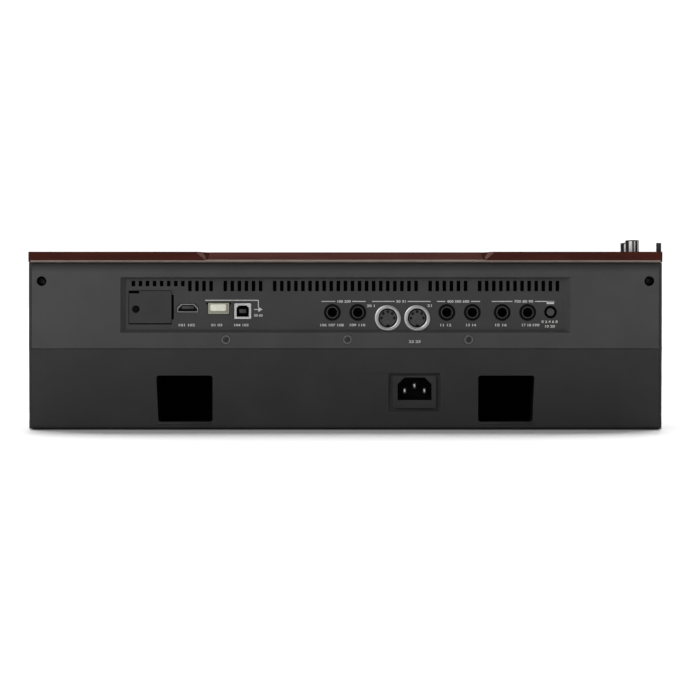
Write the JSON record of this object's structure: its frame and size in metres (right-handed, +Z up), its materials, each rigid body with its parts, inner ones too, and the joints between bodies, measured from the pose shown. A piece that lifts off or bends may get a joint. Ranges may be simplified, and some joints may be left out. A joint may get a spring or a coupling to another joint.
{
  "type": "arranger keyboard",
  "caption": "Compact arranger keyboard with hinged piano keys, sloping deck with display, speakers and wheels, and a rear panel with a recessed connector field.",
  "frame": {"origin": "on the floor under the middle of the case", "axes": "+X to the player's right along the keys, +Y to the rear connectors, +Z up"},
  "size_m": [0.449, 0.34, 0.135],
  "materials": {
    "black": "satin",
    "blackkey": "satin",
    "case": "fine moulded texture",
    "glass": "dark, glossy",
    "button": "satin",
    "steel": "plated",
    "frame": "satin",
    "board": "solder mask",
    "rubber": "matt",
    "panel": "satin paint",
    "cone": "matt",
    "deck": "dark red, satin lacquer",
    "white": "polished"
  },
  "bodies": {
    "case": {"ac_inlet": "black", "bottom_case": "case", "display_bezel": "black", "display_glass": "glass", "hdmi_socket": "steel", "jack_socket_1": "black", "jack_socket_2": "black", "jack_socket_3": "black", "jack_socket_4": "black", "jack_socket_5": "black", "jack_socket_6": "black", "key_frame": "frame", "lower_rear_panel": "case", "main_board": "board", "midi_socket_1": "steel", "midi_socket_2": "steel", "port_left": "black", "port_right": "black", "power_supply": "frame", "rear_panel": "panel", "service_cover": "panel", "speaker_left": "cone", "speaker_right": "cone", "top_deck": "deck", "usb_device_socket": "steel", "usb_host_socket": "steel"},
    "white_key_01": {"white_key_01": "white"},
    "white_key_02": {"white_key_02": "white"},
    "white_key_03": {"white_key_03": "white"},
    "white_key_04": {"white_key_04": "white"},
    "white_key_05": {"white_key_05": "white"},
    "white_key_06": {"white_key_06": "white"},
    "white_key_07": {"white_key_07": "white"},
    "white_key_08": {"white_key_08": "white"},
    "white_key_09": {"white_key_09": "white"},
    "white_key_10": {"white_key_10": "white"},
    "white_key_11": {"white_key_11": "white"},
    "white_key_12": {"white_key_12": "white"},
    "white_key_13": {"white_key_13": "white"},
    "white_key_14": {"white_key_14": "white"},
    "white_key_15": {"white_key_15": "white"},
    "black_key_01": {"black_key_01": "blackkey"},
    "black_key_02": {"black_key_02": "blackkey"},
    "black_key_03": {"black_key_03": "blackkey"},
    "black_key_04": {"black_key_04": "blackkey"},
    "black_key_05": {"black_key_05": "blackkey"},
    "black_key_06": {"black_key_06": "blackkey"},
    "black_key_07": {"black_key_07": "blackkey"},
    "black_key_08": {"black_key_08": "blackkey"},
    "black_key_09": {"black_key_09": "blackkey"},
    "black_key_10": {"black_key_10": "blackkey"},
    "gain_knob": {"gain_knob": "button"},
    "volume_knob": {"volume_knob": "rubber"},
    "tone_knob": {"tone_knob": "rubber"},
    "data_dial": {"data_dial": "black"},
    "pitch_wheel": {"pitch_wheel": "rubber"},
    "modulation_wheel": {"modulation_wheel": "rubber"},
    "power_toggle": {"power_toggle": "black"},
    "start_stop_button": {"start_stop_button": "button"},
    "variation_button": {"variation_button": "button"}
  },
  "joints": [
    {"name": "white_key_01_press", "type": "hinge", "parent": "case", "child": "white_key_01", "pos_m": [-0.12785, 0.04, 0.07], "axis": [1, 0, 0], "range_deg": [0, 2.9], "stiffness_Nm_per_rad": 1, "springref_deg": -7.45},
    {"name": "white_key_02_press", "type": "hinge", "parent": "case", "child": "white_key_02", "pos_m": [-0.10435, 0.04, 0.07], "axis": [1, 0, 0], "range_deg": [0, 2.9], "stiffness_Nm_per_rad": 1, "springref_deg": -7.45},
    {"name": "white_key_03_press", "type": "hinge", "parent": "case", "child": "white_key_03", "pos_m": [-0.08085, 0.04, 0.07], "axis": [1, 0, 0], "range_deg": [0, 2.9], "stiffness_Nm_per_rad": 1, "springref_deg": -7.45},
    {"name": "white_key_04_press", "type": "hinge", "parent": "case", "child": "white_key_04", "pos_m": [-0.05735, 0.04, 0.07], "axis": [1, 0, 0], "range_deg": [0, 2.9], "stiffness_Nm_per_rad": 1, "springref_deg": -7.45},
    {"name": "white_key_05_press", "type": "hinge", "parent": "case", "child": "white_key_05", "pos_m": [-0.03385, 0.04, 0.07], "axis": [1, 0, 0], "range_deg": [0, 2.9], "stiffness_Nm_per_rad": 1, "springref_deg": -7.45},
    {"name": "white_key_06_press", "type": "hinge", "parent": "case", "child": "white_key_06", "pos_m": [-0.01035, 0.04, 0.07], "axis": [1, 0, 0], "range_deg": [0, 2.9], "stiffness_Nm_per_rad": 1, "springref_deg": -7.45},
    {"name": "white_key_07_press", "type": "hinge", "parent": "case", "child": "white_key_07", "pos_m": [0.01315, 0.04, 0.07], "axis": [1, 0, 0], "range_deg": [0, 2.9], "stiffness_Nm_per_rad": 1, "springref_deg": -7.45},
    {"name": "white_key_08_press", "type": "hinge", "parent": "case", "child": "white_key_08", "pos_m": [0.03665, 0.04, 0.07], "axis": [1, 0, 0], "range_deg": [0, 2.9], "stiffness_Nm_per_rad": 1, "springref_deg": -7.45},
    {"name": "white_key_09_press", "type": "hinge", "parent": "case", "child": "white_key_09", "pos_m": [0.06015, 0.04, 0.07], "axis": [1, 0, 0], "range_deg": [0, 2.9], "stiffness_Nm_per_rad": 1, "springref_deg": -7.45},
    {"name": "white_key_10_press", "type": "hinge", "parent": "case", "child": "white_key_10", "pos_m": [0.08365, 0.04, 0.07], "axis": [1, 0, 0], "range_deg": [0, 2.9], "stiffness_Nm_per_rad": 1, "springref_deg": -7.45},
    {"name": "white_key_11_press", "type": "hinge", "parent": "case", "child": "white_key_11", "pos_m": [0.10715, 0.04, 0.07], "axis": [1, 0, 0], "range_deg": [0, 2.9], "stiffness_Nm_per_rad": 1, "springref_deg": -7.45},
    {"name": "white_key_12_press", "type": "hinge", "parent": "case", "child": "white_key_12", "pos_m": [0.13065, 0.04, 0.07], "axis": [1, 0, 0], "range_deg": [0, 2.9], "stiffness_Nm_per_rad": 1, "springref_deg": -7.45},
    {"name": "white_key_13_press", "type": "hinge", "parent": "case", "child": "white_key_13", "pos_m": [0.15415, 0.04, 0.07], "axis": [1, 0, 0], "range_deg": [0, 2.9], "stiffness_Nm_per_rad": 1, "springref_deg": -7.45},
    {"name": "white_key_14_press", "type": "hinge", "parent": "case", "child": "white_key_14", "pos_m": [0.17765, 0.04, 0.07], "axis": [1, 0, 0], "range_deg": [0, 2.9], "stiffness_Nm_per_rad": 1, "springref_deg": -7.45},
    {"name": "white_key_15_press", "type": "hinge", "parent": "case", "child": "white_key_15", "pos_m": [0.20115, 0.04, 0.07], "axis": [1, 0, 0], "range_deg": [0, 2.9], "stiffness_Nm_per_rad": 1, "springref_deg": -7.45},
    {"name": "black_key_01_press", "type": "hinge", "parent": "case", "child": "black_key_01", "pos_m": [-0.11845, 0.04, 0.07], "axis": [1, 0, 0], "range_deg": [0, 2.9], "stiffness_Nm_per_rad": 1, "springref_deg": -6.3},
    {"name": "black_key_02_press", "type": "hinge", "parent": "case", "child": "black_key_02", "pos_m": [-0.09025, 0.04, 0.07], "axis": [1, 0, 0], "range_deg": [0, 2.9], "stiffness_Nm_per_rad": 1, "springref_deg": -6.3},
    {"name": "black_key_03_press", "type": "hinge", "parent": "case", "child": "black_key_03", "pos_m": [-0.04896, 0.04, 0.07], "axis": [1, 0, 0], "range_deg": [0, 2.9], "stiffness_Nm_per_rad": 1, "springref_deg": -6.3},
    {"name": "black_key_04_press", "type": "hinge", "parent": "case", "child": "black_key_04", "pos_m": [-0.0221, 0.04, 0.07], "axis": [1, 0, 0], "range_deg": [0, 2.9], "stiffness_Nm_per_rad": 1, "springref_deg": -6.3},
    {"name": "black_key_05_press", "type": "hinge", "parent": "case", "child": "black_key_05", "pos_m": [0.00476, 0.04, 0.07], "axis": [1, 0, 0], "range_deg": [0, 2.9], "stiffness_Nm_per_rad": 1, "springref_deg": -6.3},
    {"name": "black_key_06_press", "type": "hinge", "parent": "case", "child": "black_key_06", "pos_m": [0.04605, 0.04, 0.07], "axis": [1, 0, 0], "range_deg": [0, 2.9], "stiffness_Nm_per_rad": 1, "springref_deg": -6.3},
    {"name": "black_key_07_press", "type": "hinge", "parent": "case", "child": "black_key_07", "pos_m": [0.07425, 0.04, 0.07], "axis": [1, 0, 0], "range_deg": [0, 2.9], "stiffness_Nm_per_rad": 1, "springref_deg": -6.3},
    {"name": "black_key_08_press", "type": "hinge", "parent": "case", "child": "black_key_08", "pos_m": [0.11554, 0.04, 0.07], "axis": [1, 0, 0], "range_deg": [0, 2.9], "stiffness_Nm_per_rad": 1, "springref_deg": -6.3},
    {"name": "black_key_09_press", "type": "hinge", "parent": "case", "child": "black_key_09", "pos_m": [0.1424, 0.04, 0.07], "axis": [1, 0, 0], "range_deg": [0, 2.9], "stiffness_Nm_per_rad": 1, "springref_deg": -6.3},
    {"name": "black_key_10_press", "type": "hinge", "parent": "case", "child": "black_key_10", "pos_m": [0.16926, 0.04, 0.07], "axis": [1, 0, 0], "range_deg": [0, 2.9], "stiffness_Nm_per_rad": 1, "springref_deg": -6.3},
    {"name": "volume_knob_turn", "type": "hinge", "parent": "case", "child": "volume_knob", "pos_m": [-0.2047, 0.145, 0.12465], "axis": [0, -0.0698, 0.9976], "range_deg": [-150, 150]},
    {"name": "tone_knob_turn", "type": "hinge", "parent": "case", "child": "tone_knob", "pos_m": [-0.2028, 0.122, 0.12304], "axis": [0, -0.0698, 0.9976], "range_deg": [-150, 150]},
    {"name": "gain_knob_turn", "type": "hinge", "parent": "case", "child": "gain_knob", "pos_m": [-0.1457, 0.1448, 0.0836], "axis": [0, 1, 0], "range_deg": [-135, 135]},
    {"name": "data_dial_turn", "type": "hinge", "parent": "case", "child": "data_dial", "pos_m": [0.1215, 0.048, 0.10903], "axis": [0, -0.2079, 0.9781], "continuous": true},
    {"name": "pitch_wheel_turn", "type": "hinge", "parent": "case", "child": "pitch_wheel", "pos_m": [-0.1941, -0.09, 0.0747], "axis": [1, 0, 0], "range_deg": [-50, 50], "stiffness_Nm_per_rad": 0.04},
    {"name": "modulation_wheel_turn", "type": "hinge", "parent": "case", "child": "modulation_wheel", "pos_m": [-0.1701, -0.09, 0.0747], "axis": [1, 0, 0], "range_deg": [-50, 50]},
    {"name": "power_toggle_rock", "type": "hinge", "parent": "case", "child": "power_toggle", "pos_m": [-0.2226, 0.158, 0.12206], "axis": [1, 0, 0], "range_deg": [0, 25]},
    {"name": "start_stop_button_press", "type": "slide", "parent": "case", "child": "start_stop_button", "axis": [0, 0.2079, -0.9781], "range_m": [0, 0.0012], "stiffness_N_per_m": 400, "springref_m": -0.0015},
    {"name": "variation_button_press", "type": "slide", "parent": "case", "child": "variation_button", "axis": [0, 0.2079, -0.9781], "range_m": [0, 0.0012], "stiffness_N_per_m": 400, "springref_m": -0.0015}
  ]
}
